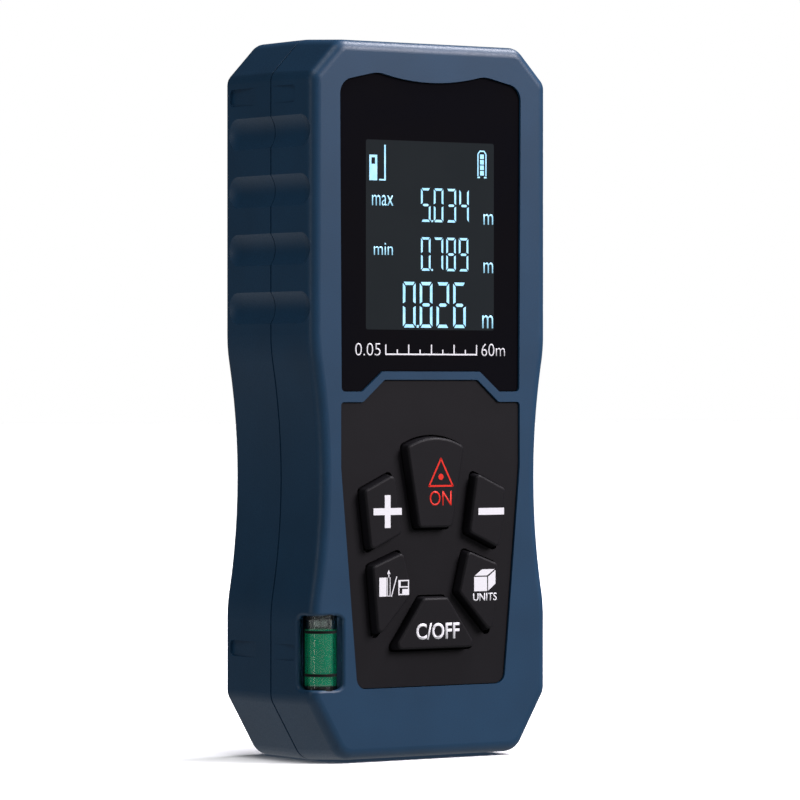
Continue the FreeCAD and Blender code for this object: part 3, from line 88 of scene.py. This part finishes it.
class Look:
    """A node material being built: one Principled shader fed by procedural textures."""

    def __init__(self, name, colour, roughness, **sockets):
        self.material = bpy.data.materials.new(name)
        self.material.use_nodes = True
        self.nodes = self.material.node_tree.nodes
        self.links = self.material.node_tree.links
        self.shader = self.nodes["Principled BSDF"]
        self.shader.inputs["Base Color"].default_value = colour
        self.shader.inputs["Roughness"].default_value = roughness
        for socket, setting in sockets.items():
            self.shader.inputs[socket.replace("_", " ")].default_value = setting
        self.colour = colour
        self.roughness = roughness
        self.coordinates = self.nodes.new("ShaderNodeTexCoord").outputs["Object"]

    def node(self, kind, **settings):
        made = self.nodes.new(kind)
        for key, setting in settings.items():
            setattr(made, key, setting)
        return made

    def noise(self, grain, detail=4.0, stretch=(1, 1, 1)):
        """Noise whose features are about one grain across, in metres."""
        mapping = self.node("ShaderNodeMapping")
        mapping.inputs["Scale"].default_value = stretch
        self.links.new(self.coordinates, mapping.inputs["Vector"])
        texture = self.node("ShaderNodeTexNoise")
        texture.inputs["Scale"].default_value = 1 / grain
        texture.inputs["Detail"].default_value = detail
        self.links.new(mapping.outputs["Vector"], texture.inputs["Vector"])
        return texture.outputs["Fac"]

    def spread(self, fac, low, high):
        """Map the usual values of a noise onto a range of values."""
        remap = self.node("ShaderNodeMapRange")
        remap.inputs["From Min"].default_value = NOISE_LOW
        remap.inputs["From Max"].default_value = NOISE_HIGH
        remap.inputs["To Min"].default_value = low
        remap.inputs["To Max"].default_value = high
        self.links.new(fac, remap.inputs["Value"])
        return remap.outputs["Result"]

    def mottle(self, fac, other, strength=1.0, source=None):
        """Mix another colour into the base colour, or into a source, by a factor."""
        mix = self.node("ShaderNodeMix", data_type="RGBA")
        scaled = self.spread(fac, 0.0, strength)
        self.links.new(scaled, mix.inputs["Factor"])
        if source is None:
            mix.inputs["A"].default_value = self.colour
        else:
            self.links.new(source, mix.inputs["A"])
        mix.inputs["B"].default_value = other
        self.links.new(mix.outputs["Result"], self.shader.inputs["Base Color"])
        return mix.outputs["Result"]

    def uneven(self, fac, change):
        """Vary the roughness by a factor, by up to a change either way."""
        varied = self.spread(fac, self.roughness - change, self.roughness + change)
        self.links.new(varied, self.shader.inputs["Roughness"])

    def bump(self, fac, height):
        """Raise the surface by a factor, by up to a height in metres."""
        bump = self.node("ShaderNodeBump")
        bump.inputs["Distance"].default_value = height
        self.links.new(fac, bump.inputs["Height"])
        self.links.new(bump.outputs["Normal"], self.shader.inputs["Normal"])

    def glow(self, colour, strength):
        """Give off light: the display's own backlight, and a painted glow on pieces that are no
        lamp, such as the lit-through vial liquid and the printed ink.
        """
        self.shader.inputs["Emission Color"].default_value = colour
        self.shader.inputs["Emission Strength"].default_value = strength


def moulded(name, colour, roughness, grain, height, **sockets):
    """Moulded plastic or rubber: a fine surface grain with slow changes of tone and gloss."""
    slow_per_grain, lighter, darker, darkening, gloss_change = 40, 1.18, 0.82, 0.6, 0.08
    look = Look(name, colour, roughness, **sockets)
    fine = look.noise(grain)
    slow = look.noise(slow_per_grain * grain, detail=2.0)
    tone = look.mottle(slow, shade(colour, lighter))
    look.mottle(fine, shade(colour, darker), darkening, tone)
    look.uneven(fine, gloss_change)
    look.bump(fine, height)
    return look.material


def brushed(name, colour, roughness, grain, stretch):
    """Metal with fine drawn or turned lines."""
    darker, darkening, gloss_change = 0.75, 0.7, 0.1
    look = Look(name, colour, roughness, Metallic=1.0)
    lines = look.noise(grain, stretch=stretch)
    look.mottle(lines, shade(colour, darker), darkening)
    look.uneven(lines, gloss_change)
    look.bump(lines, 0.004 * MM)
    return look.material


def clear(name, colour, **sockets):
    """Glass or clear plastic with a faint film on it."""
    look = Look(name, colour, 0.02, Transmission_Weight=1.0, **sockets)
    film = look.noise(3 * MM, detail=2.0)
    look.uneven(film, 0.015)
    return look.material


def window_gloss():
    """Near-black gloss of the display window."""
    look = Look("window_gloss", srgb(17, 17, 22), 0.08, Specular_IOR_Level=0.06)
    slow = look.noise(14 * MM, detail=2.0)
    look.mottle(slow, srgb(19, 18, 21))
    look.uneven(slow, 0.02)
    return look.material


def lcd_background():
    """Dark grey of the lit display between its segments."""
    look = Look("lcd_background", srgb(30, 34, 37), 0.16, Specular_IOR_Level=0.06)
    slow = look.noise(9 * MM, detail=1.0)
    look.mottle(slow, srgb(31, 35, 38))
    look.uneven(slow, 0.03)
    look.glow(srgb(44, 48, 51), 0.25)
    return look.material


def lit_segment():
    """Pale blue of a segment with the backlight behind it."""
    look = Look("lit_segment", srgb(150, 210, 240), 0.3)
    slow = look.noise(1.2 * MM, detail=1.0)
    look.mottle(slow, srgb(185, 235, 255))
    look.glow(srgb(150, 215, 245), 0.45)
    return look.material


def printed(name, colour, strength):
    """Opaque ink with a painted glow: it gives off a little light of its own colour, though ink is
    no lamp.
    """
    darker, darkening = 0.9, 0.8
    look = Look(name, colour, 0.45, Specular_IOR_Level=0.3)
    fine = look.noise(0.12 * MM)
    look.mottle(fine, shade(colour, darker), darkening)
    look.uneven(fine, 0.06)
    look.bump(fine, 0.003 * MM)
    # Painted glow: the ink gives off light of its own colour by the given strength.
    look.glow(colour, strength)
    return look.material


def circuit_board():
    """Green solder mask with a faint pattern of tracks under it."""
    colour, island, track = srgb(20, 92, 48), 0.85, 1.8
    look = Look("circuit_board", colour, 0.32, Coat_Weight=0.3)
    brick = look.node("ShaderNodeTexBrick")
    brick.inputs["Scale"].default_value = 160
    brick.inputs["Mortar Size"].default_value = 0.06
    brick.inputs["Color1"].default_value = colour
    brick.inputs["Color2"].default_value = shade(colour, island)
    brick.inputs["Mortar"].default_value = shade(colour, track)
    turn = look.node("ShaderNodeMapping")
    turn.inputs["Rotation"].default_value = (math.radians(90), 0, 0)
    look.links.new(look.coordinates, turn.inputs["Vector"])
    look.links.new(turn.outputs["Vector"], brick.inputs["Vector"])
    look.links.new(brick.outputs["Color"], look.shader.inputs["Base Color"])
    look.bump(brick.outputs["Fac"], 0.01 * MM)
    return look.material


def cell_sleeve():
    """Plain battery sleeve: a dark body with a coppery band near the upper end."""
    body, copper, band_start = srgb(34, 38, 44), srgb(176, 112, 62), 0.78
    look = Look("cell_sleeve", body, 0.28, Coat_Weight=0.5)
    low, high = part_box("battery_left")
    split = look.node("ShaderNodeSeparateXYZ")
    look.links.new(look.coordinates, split.inputs["Vector"])
    height = look.node("ShaderNodeMapRange")
    height.inputs["From Min"].default_value = low[2]
    height.inputs["From Max"].default_value = high[2]
    look.links.new(split.outputs["Z"], height.inputs["Value"])
    ramp = look.node("ShaderNodeValToRGB")
    ramp.color_ramp.interpolation = "CONSTANT"
    ramp.color_ramp.elements[0].color = body
    ramp.color_ramp.elements[1].position = band_start
    ramp.color_ramp.elements[1].color = copper
    look.links.new(height.outputs["Result"], ramp.inputs["Fac"])
    look.links.new(ramp.outputs["Color"], look.shader.inputs["Base Color"])
    look.uneven(look.noise(2 * MM), 0.05)
    return look.material


def vial_green():
    """Dyed liquid of the spirit level, with a little light of its own to look lit through."""
    look = Look("vial_green", srgb(0, 104, 76), 0.12, Specular_IOR_Level=0.1)
    column = look.noise(6 * MM, detail=1.0)
    look.mottle(column, srgb(0, 126, 90))
    look.glow(srgb(0, 120, 80), 0.25)
    return look.material


# name, colour, roughness, grain and bump height in millimetres, specular level
MOULDED = {
    "housing_blue": ("soft_touch_blue", (27, 62, 91), 0.42, 0.22, 0.006, 0.36),
    "black_matte": ("black_matte", (22, 21, 25), 0.5, 0.16, 0.006, 0.16),
    "black_rubber": ("black_rubber", (31, 30, 34), 0.55, 0.2, 0.008, 0.25),
    "adhesive": ("adhesive_film", (190, 188, 180), 0.6, 0.3, 0.004, 0.5),
    "light_guide": ("light_guide", (225, 230, 235), 0.25, 0.8, 0.004, 0.5),
    "frame_plastic": ("frame_plastic", (58, 58, 62), 0.55, 0.25, 0.01, 0.5),
    "chip_black": ("chip_black", (28, 28, 30), 0.6, 0.1, 0.006, 0.5),
    "foam": ("foam", (40, 40, 42), 0.9, 0.4, 0.08, 0.5),
    "label": ("blank_label", (168, 171, 176), 0.45, 0.18, 0.003, 0.5),
}

# name, colour, roughness, grain in millimetres, stretch along each axis
BRUSHED = {
    "steel": ("screw_steel", (120, 121, 126), 0.34, 0.15, (1, 1, 6)),
    "nickel": ("nickel_plate", (196, 190, 178), 0.24, 0.2, (8, 1, 1)),
    "brass": ("turned_brass", (196, 156, 88), 0.3, 0.12, (1, 1, 12)),
    "gold": ("gold_can", (214, 176, 98), 0.25, 0.12, (1, 1, 12)),
}

LOOKS = {
    "window_gloss": window_gloss(),
    "clear_glass": clear("coated_glass", srgb(225, 205, 235), Coat_Weight=0.4),
    "lcd_glass": clear("display_glass", srgb(150, 160, 162)),
    "board_green": circuit_board(),
    "cell_wrap": cell_sleeve(),
    "acrylic": clear("acrylic", srgb(245, 255, 250), IOR=1.3),
    "vial_green": vial_green(),
}
for slot, (name, colour, roughness, grain, height, specular) in MOULDED.items():
    LOOKS[slot] = moulded(
        name, srgb(*colour), roughness, grain * MM, height * MM, Specular_IOR_Level=specular
    )
for slot, (name, colour, roughness, grain, stretch) in BRUSHED.items():
    LOOKS[slot] = brushed(name, srgb(*colour), roughness, grain * MM, stretch)

# The last number of each ink is the strength of its painted glow.
PRINT_WHITE = printed("print_white", srgb(238, 238, 244), 0.12)
PRINT_RED = printed("print_red", srgb(232, 44, 30), 0.1)
SEGMENT = lit_segment()
LCD_BACK = lcd_background()

for part in frame["record"]["subparts"]:
    mesh = frame["nodes"][part["node"]].data
    mesh.materials.clear()
    mesh.materials.append(LOOKS[part["material_slot"]])


# ---------------------------------------------------------------- flat prints

# Prints lie on surfaces that face -Y. Their outlines are lists of (x, z) in millimetres, and a
# surface is a level of Y in metres.

PRINT_THICK = 0.012 * MM


def face_level(node):
    """The foremost level of a node."""
    return float(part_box(node)[0][1])


def place(name, mesh, material, body):
    """Make a mesh into a piece that rides on a body."""
    mesh.materials.clear()
    mesh.materials.append(material)
    piece = bpy.data.objects.new(name, mesh)
    bpy.context.collection.objects.link(piece)
    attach(piece, body)


def plate(name, outlines, surface, material, body):
    """Lay closed outlines as a thin print on a surface."""
    mesh = bpy.data.meshes.new(name)
    build = bmesh.new()
    for outline in outlines:
        rear = [build.verts.new((x * MM, surface, z * MM)) for x, z in outline]
        front = [build.verts.new((x * MM, surface - PRINT_THICK, z * MM)) for x, z in outline]
        build.faces.new(front)
        build.faces.new(list(reversed(rear)))
        for index in range(len(outline)):
            after = (index + 1) % len(outline)
            build.faces.new((rear[index], rear[after], front[after], front[index]))
    bmesh.ops.recalc_face_normals(build, faces=build.faces)
    build.to_mesh(mesh)
    build.free()
    place(name, mesh, material, body)


def lettering(name, text, x_span, z_span, surface, material, body, slot, weight):
    """Set a word in the plain built-in typeface and fit it to a box in millimetres."""
    curve = bpy.data.curves.new(name + "_type", "FONT")
    curve.body = text
    curve.offset = weight
    curve.resolution_u = 4
    source = bpy.data.objects.new(name + "_source", curve)
    bpy.context.collection.objects.link(source)
    bpy.context.view_layer.update()
    drawn = source.evaluated_get(bpy.context.evaluated_depsgraph_get())
    flat = bpy.data.meshes.new_from_object(drawn)
    bpy.data.objects.remove(source)
    xs = [vertex.co.x for vertex in flat.vertices]
    ys = [vertex.co.y for vertex in flat.vertices]
    scale_x = (x_span[1] - x_span[0]) / (max(xs) - min(xs))
    scale_z = (z_span[1] - z_span[0]) / (max(ys) - min(ys))
    for vertex in flat.vertices:
        x = x_span[0] + (vertex.co.x - min(xs)) * scale_x
        z = z_span[0] + (vertex.co.y - min(ys)) * scale_z
        vertex.co = (x * MM, surface - PRINT_THICK, z * MM)
    build = bmesh.new()
    build.from_mesh(flat)
    bmesh.ops.remove_doubles(build, verts=build.verts, dist=1e-7)
    bmesh.ops.solidify(build, geom=build.faces, thickness=PRINT_THICK)
    bmesh.ops.recalc_face_normals(build, faces=build.faces)
    build.to_mesh(flat)
    build.free()
    place(name, flat, material, body)


# ---------------------------------------------------------------- outlines

def rect(x_low, x_high, z_low, z_high):
    return [(x_low, z_low), (x_high, z_low), (x_high, z_high), (x_low, z_high)]


def rects(*boxes):
    return [rect(*box) for box in boxes]


def frame_of(x_low, x_high, z_low, z_high, width):
    """The four bars of a rectangular outline."""
    return rects(
        (x_low, x_high, z_high - width, z_high),
        (x_low, x_high, z_low, z_low + width),
        (x_low, x_low + width, z_low + width, z_high - width),
        (x_high - width, x_high, z_low + width, z_high - width),
    )


def stroke(start, finish, width):
    """A straight bar of ink between two points."""
    first, last = Vector(start), Vector(finish)
    along = (last - first).normalized()
    side = Vector((-along.y, along.x)) * width / 2
    return [tuple(first + side), tuple(first - side), tuple(last - side), tuple(last + side)]


def disc(x, z, radius, count=24):
    turns = [2 * math.pi * index / count for index in range(count)]
    return [(x + radius * math.cos(turn), z + radius * math.sin(turn)) for turn in turns]


def rounded(x_low, x_high, z_low, z_high, radius, steps=6):
    """A rectangle with round corners."""
    centres = rect(x_low + radius, x_high - radius, z_low + radius, z_high - radius)
    top_right_first = [centres[2], centres[3], centres[0], centres[1]]
    outline = []
    for quarter, (x, z) in enumerate(top_right_first):
        for step in range(steps + 1):
            turn = math.pi / 2 * (quarter + step / steps)
            outline.append((x + radius * math.cos(turn), z + radius * math.sin(turn)))
    return outline


# ---------------------------------------------------------------- display

SEGMENTS_OF = {
    "0": "abcdef", "2": "abged", "3": "abgcd", "4": "fgbc", "5": "afgcd",
    "6": "afgedc", "7": "abc", "8": "abcdefg", "9": "abcdfg",
}

LCD_PANEL, LCD_CORNER = (-12.45, 12.45, 68.65, 98.75), 0.35

# figures, their span across and up, then the width, bar width and gap of one figure
READINGS = {
    "reading_max": ("5034", (-1.85, 7.5), (85.9, 91.3), 1.86, 0.38, 0.15),
    "reading_min": ("0789", (-1.85, 7.4), (78.1, 83.45), 1.86, 0.38, 0.15),
    "reading_now": ("0826", (-5.35, 6.9), (69.0, 76.3), 2.46, 0.52, 0.2),
}

# text, then its span across and up
WORDS = {
    "word_max": ("max", (-11.3, -7.2), (88.3, 90.0)),
    "word_min": ("min", (-10.95, -7.3), (80.5, 82.4)),
    "unit_max": ("m", (10.4, 12.3), (85.7, 87.4)),
    "unit_min": ("m", (10.4, 12.3), (77.9, 79.6)),
    "unit_now": ("m", (10.15, 12.3), (69.0, 71.1)),
}
WORD_WEIGHT = -0.004

RANGE_WORDS = {
    "range_low": ("0.05", (-14.5, -9.65), (64.5, 66.5)),
    "range_high": ("60m", (10.0, 14.65), (64.5, 66.5)),
}
RANGE_WEIGHT = -0.012


def digit(figure, x, z, wide, high, bar, gap):
    """The bars of one seven-segment figure whose lower left corner is at x, z."""
    half, half_bar, shank = high / 2, bar / 2, bar * 0.9
    bars = {
        "a": [(gap, high), (bar, high - bar), (wide - bar, high - bar), (wide - gap, high)],
        "b": [
            (wide, half + gap), (wide, high - gap), (wide - shank, high - bar - gap),
            (wide - shank, half + half_bar + gap),
        ],
        "c": [
            (wide, half - gap), (wide, gap), (wide - shank, bar + gap),
            (wide - shank, half - half_bar - gap),
        ],
        "d": [(gap, 0), (wide - gap, 0), (wide - bar, bar), (bar, bar)],
        "e": [(0, half - gap), (0, gap), (shank, bar + gap), (shank, half - half_bar - gap)],
        "f": [
            (0, half + gap), (0, high - gap), (shank, high - bar - gap),
            (shank, half + half_bar + gap),
        ],
        "g": [
            (half_bar + gap, half), (bar + gap, half + half_bar),
            (wide - bar - gap, half + half_bar), (wide - half_bar - gap, half),
            (wide - bar - gap, half - half_bar), (bar + gap, half - half_bar),
        ],
    }
    return [[(x + dx, z + dz) for dx, dz in bars[name]] for name in SEGMENTS_OF[figure]]


def reading(figures, x_span, z_span, wide, bar, gap):
    """Four seven-segment figures with a point after the first one."""
    point_half, point_high = bar * 0.4, bar * 0.8
    pitch = (x_span[1] - x_span[0] - wide) / (len(figures) - 1)
    high = z_span[1] - z_span[0]
    outlines = []
    for index, figure in enumerate(figures):
        outlines += digit(figure, x_span[0] + pitch * index, z_span[0], wide, high, bar, gap)
    point = x_span[0] + (wide + pitch) / 2
    outlines.append(
        rect(point - point_half, point + point_half, z_span[0], z_span[0] + point_high)
    )
    return outlines


def reference_sign():
    """The meter beside the line that it measures along."""
    wall = 0.4
    outlines = frame_of(-11.8, -10.3, 94.5, 96.35, wall)
    outlines += rects(
        (-11.8, -10.3, 92.3, 94.5), (-9.95, -8.65, 92.3, 92.55), (-8.95, -8.65, 92.55, 98.0)
    )
    return outlines


def cell_sign():
    """A cell with four bars of charge."""
    line, charge_low, charge_high, charge_pitch, charges = 0.22, 93.6, 94.32, 0.88, 4
    outlines = rects((9.2, 9.42, 93.5, 97.0), (10.78, 11.0, 93.5, 97.0), (9.65, 10.55, 97.38, 97.6))
    outlines.append(stroke((9.3, 97.0), (9.7, 97.5), line))
    outlines.append(stroke((10.9, 97.0), (10.5, 97.5), line))
    outlines += rects((9.2, 9.7, 93.15, 93.4), (10.5, 11.0, 93.15, 93.4))
    for row in range(charges):
        rise = charge_pitch * row
        outlines.append(rect(9.72, 10.48, charge_low + rise, charge_high + rise))
    return outlines


def range_scale():
    """A base line with long and short ticks in turn."""
    x_low, x_high, line_low, line_high = -8.75, 9.15, 64.62, 64.86
    ticks, tick_half, long_top, short_top = 9, 0.11, 66.3, 65.5
    outlines = [rect(x_low, x_high, line_low, line_high)]
    for index in range(ticks):
        x = x_low + tick_half + (x_high - x_low - 2 * tick_half) * index / (ticks - 1)
        top = long_top if index % 2 == 0 else short_top
        outlines.append(rect(x - tick_half, x + tick_half, line_high, top))
    return outlines


def display():
    """The lit liquid-crystal panel and the range scale on the window."""
    surface = face_level("display_window")
    lit = surface - PRINT_THICK
    slot = "window_gloss"
    plate("lcd_panel", [rounded(*LCD_PANEL, LCD_CORNER)], surface, LCD_BACK, HOUSING)
    for name, layout in READINGS.items():
        plate(name, reading(*layout), lit, SEGMENT, HOUSING)
    for name, layout in WORDS.items():
        lettering(name, *layout, lit, SEGMENT, HOUSING, slot, WORD_WEIGHT)
    plate("reference_sign", reference_sign(), lit, SEGMENT, HOUSING)
    plate("cell_sign", cell_sign(), lit, SEGMENT, HOUSING)
    plate("range_scale", range_scale(), surface, PRINT_WHITE, HOUSING)
    for name, layout in RANGE_WORDS.items():
        lettering(name, *layout, surface, PRINT_WHITE, HOUSING, slot, RANGE_WEIGHT)


# ---------------------------------------------------------------- key legends

KEY_SLOT = "black_matte"

# text, its span across and up, then its ink, key and weight
KEY_WORDS = {
    "on_word": ("ON", (-1.3, 2.95), (40.6, 42.95), PRINT_RED, "key_on", -0.004),
    "units_word": ("UNITS", (7.2, 11.85), (25.2, 26.45), PRINT_WHITE, "key_units", 0.01),
    "clear_word": ("C/OFF", (-3.9, 4.5), (19.3, 21.9), PRINT_WHITE, "key_clear", 0.02),
}


def beam_triangle():
    """A triangle with a plain dot, each outline a print of its own."""
    line, corner_radius, corner_count, dot_radius = 0.28, 0.14, 12, 0.5
    corners = [(0.9, 48.1), (-1.4, 43.75), (3.2, 43.75)]
    sides = [stroke(corners[index], corners[(index + 1) % 3], line) for index in range(3)]
    joints = [disc(*corner, corner_radius, corner_count) for corner in corners]
    return sides + joints + [disc(0.9, 45.2, dot_radius)]


def plus_sign():
    return rects(
        (-12.1, -6.7, 39.25, 40.35), (-9.95, -8.85, 40.35, 42.4), (-9.95, -8.85, 37.2, 39.25)
    )


def reference_mark():
    """The two edges that a distance can be measured from: an arrow, a slash and the meter."""
    outlines = rects(
        (-11.0, -9.62, 26.35, 29.35), (-9.5, -9.38, 26.35, 29.35), (-9.0, -8.88, 26.35, 29.35),
        (-9.38, -9.0, 26.35, 26.47), (-9.27, -9.1, 29.35, 30.0),
    )
    outlines.append([(-9.5, 29.9), (-8.87, 29.9), (-9.185, 30.6)])
    outlines.append(stroke((-8.7, 26.3), (-7.65, 29.5), 0.17))
    outlines += frame_of(-7.35, -5.3, 26.5, 28.9, 0.2)
    outlines += rects(
        (-7.15, -5.5, 27.7, 27.9), (-7.15, -6.9, 27.9, 28.7), (-6.6, -5.5, 26.7, 27.45)
    )
    return outlines


def volume_mark():
    """A cube from its front, top and side."""
    return [
        rect(7.4, 9.95, 26.75, 29.05),
        [(7.5, 29.25), (9.95, 29.25), (11.45, 30.25), (8.95, 30.25)],
        [(10.15, 26.8), (11.6, 27.9), (11.6, 30.1), (10.15, 29.05)],
    ]


def key_word(name):
    text, x_span, z_span, ink, key, weight = KEY_WORDS[name]
    lettering(name, text, x_span, z_span, face_level(key), ink, key, KEY_SLOT, weight)


def legends():
    """The printed signs and words, which ride on their keys."""
    for index, outline in enumerate(beam_triangle()):
        name = f"on_triangle_{index}"
        plate(name, [outline], face_level("key_on"), PRINT_RED, "key_on")
    key_word("on_word")
    signs = {
        "plus_sign": (plus_sign(), "key_plus"),
        "minus_sign": ([rect(8.25, 13.3, 39.0, 40.1)], "key_minus"),
        "reference_mark": (reference_mark(), "key_reference"),
        "volume_mark": (volume_mark(), "key_units"),
    }
    for name, (outlines, key) in signs.items():
        plate(name, outlines, face_level(key), PRINT_WHITE, key)
    key_word("units_word")
    key_word("clear_word")


display()
legends()


# ---------------------------------------------------------------- stage, light and camera

# place in metres, size in metres, power in watts, colour
LIGHTS = {
    "softbox": ((0.66, -0.76, 0.66), (0.5, 0.55), 15.5, (1.0, 0.93, 0.97)),
    "top_right": ((0.55, -0.02, 0.85), (0.4, 0.3), 10.0, (0.95, 0.93, 1.0)),
    "overhead": ((-0.35, -0.25, 0.85), (0.5, 0.4), 2.2, WHITE),
    "left_strip": ((-0.85, -0.16, 0.15), (0.12, 0.7), 0.85, WHITE),
}


def area_light(name, spot, size, power, colour):
    """A rectangular light that faces the middle of the object."""
    middle = Vector((0, 0, float(cad_high[2]) / 2))
    data = bpy.data.lights.new(name, "AREA")
    data.shape = "RECTANGLE"
    data.size, data.size_y = size
    data.energy = power
    data.color = colour
    lamp = bpy.data.objects.new(name, data)
    lamp.location = spot
    lamp.rotation_euler = (middle - Vector(spot)).to_track_quat("-Z", "Y").to_euler()
    bpy.context.collection.objects.link(lamp)


def stage():
    """A pale floor that lights nothing and isn't reflected."""
    reach = 6.0
    floor_mesh = bpy.data.meshes.new("floor")
    corners = [(-reach, -reach, 0), (reach, -reach, 0), (reach, reach, 0), (-reach, reach, 0)]
    floor_mesh.from_pydata(corners, [], [(0, 1, 2, 3)])
    floor = bpy.data.objects.new("floor", floor_mesh)
    floor.location.z = cad_low[2]
    bpy.context.collection.objects.link(floor)
    pale = Look("pale_floor", srgb(244, 244, 246), 0.9, Specular_IOR_Level=0.1)
    pale.mottle(pale.noise(0.4, detail=2.0), srgb(240, 241, 243), 0.5)
    floor_mesh.materials.append(pale.material)
    floor.visible_diffuse = False
    floor.visible_glossy = False
    return floor


def floor_sun(floor):
    """A wide sun for the floor alone, which whitens it and keeps the object's soft shadow."""
    power, spread, turn_x, turn_y = 4.2, 50, 18, 8
    floor_only = bpy.data.collections.new("floor_only")
    floor_only.objects.link(floor)
    data = bpy.data.lights.new("floor_sun", "SUN")
    data.energy = power
    data.angle = math.radians(spread)
    sun = bpy.data.objects.new("floor_sun", data)
    sun.rotation_euler = (math.radians(turn_x), math.radians(turn_y), 0)
    bpy.context.collection.objects.link(sun)
    sun.light_linking.receiver_collection = floor_only


def world():
    """White behind the object, and for everything else a dim glow that is brighter below."""
    below, above, glow_below, glow_above = -0.7, 0.05, 0.60, 0.04
    scene_world = bpy.data.worlds.new("studio")
    scene_world.use_nodes = True
    tree = scene_world.node_tree
    background = tree.nodes["Background"]
    background.inputs["Strength"].default_value = 1.0
    path = tree.nodes.new("ShaderNodeLightPath")
    mix = tree.nodes.new("ShaderNodeMix")
    mix.data_type = "RGBA"
    direction = tree.nodes.new("ShaderNodeTexCoord")
    split = tree.nodes.new("ShaderNodeSeparateXYZ")
    tree.links.new(direction.outputs["Generated"], split.inputs["Vector"])
    ramp = tree.nodes.new("ShaderNodeMapRange")
    ramp.inputs["From Min"].default_value = below
    ramp.inputs["From Max"].default_value = above
    ramp.inputs["To Min"].default_value = glow_below
    ramp.inputs["To Max"].default_value = glow_above
    tree.links.new(split.outputs["Z"], ramp.inputs["Value"])
    tree.links.new(ramp.outputs["Result"], mix.inputs["A"])
    mix.inputs["B"].default_value = (*WHITE, 1)
    tree.links.new(path.outputs["Is Camera Ray"], mix.inputs["Factor"])
    tree.links.new(mix.outputs["Result"], background.inputs["Color"])
    bpy.context.scene.world = scene_world


def camera():
    """A long lens, level with the middle of the body and to its left."""
    azimuth, tilt = math.radians(-34.5), 0.142
    distance, height, sideways = 0.7521, 0.0593, 0.00117
    data = bpy.data.cameras.new("camera")
    data.lens = 209.3
    data.sensor_width = 36.0
    shot = bpy.data.objects.new("camera", data)
    right = Vector((math.cos(azimuth), math.sin(azimuth), 0))
    back = Vector((math.sin(azimuth), -math.cos(azimuth), 0))
    shot.location = back * distance + right * sideways + Vector((0, 0, height))
    shot.rotation_euler = (math.radians(90 - tilt), 0, azimuth)
    bpy.context.collection.objects.link(shot)
    bpy.context.scene.camera = shot


floor_sun(stage())
world()
for name, layout in LIGHTS.items():
    area_light(name, *layout)
camera()
bpy.context.scene.view_settings.view_transform = "Standard"
